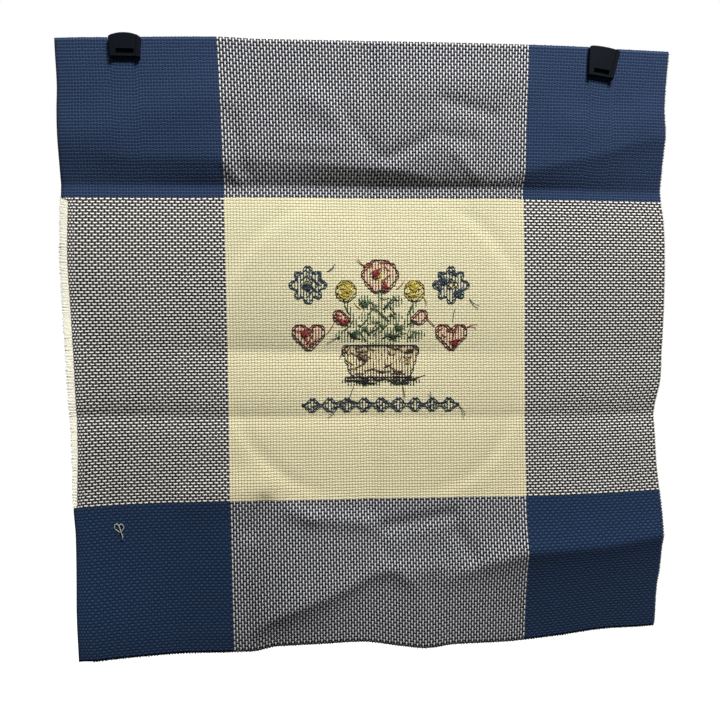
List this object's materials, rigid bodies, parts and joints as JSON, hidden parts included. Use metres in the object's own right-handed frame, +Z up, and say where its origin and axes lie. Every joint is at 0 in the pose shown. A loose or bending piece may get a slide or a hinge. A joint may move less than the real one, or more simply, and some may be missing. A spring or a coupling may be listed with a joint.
{
  "type": "cross-stitch picture cloth with two hanging clips",
  "caption": "Square woven cotton cloth with a stitched centre panel, two-tone borders and a frayed edge, hung face on from two plastic clips on its top edge.",
  "frame": {"origin": "middle of the hanging line, level with the tops of the clips and in the plane of the cloth", "axes": "+X to the viewer's right along the cloth's top edge, +Y away from the viewer, +Z up"},
  "size_m": [0.3803, 0.0193, 0.3854],
  "materials": {
    "cloth": "woven cotton, ecru centre with navy and ecru borders, matte",
    "clip": "moulded, satin blue-black",
    "thread": "stranded embroidery cotton in several colours, soft sheen"
  },
  "bodies": {
    "root": {"cloth": "cloth", "clip_left": "clip", "clip_right": "clip"}
  },
  "joints": []
}
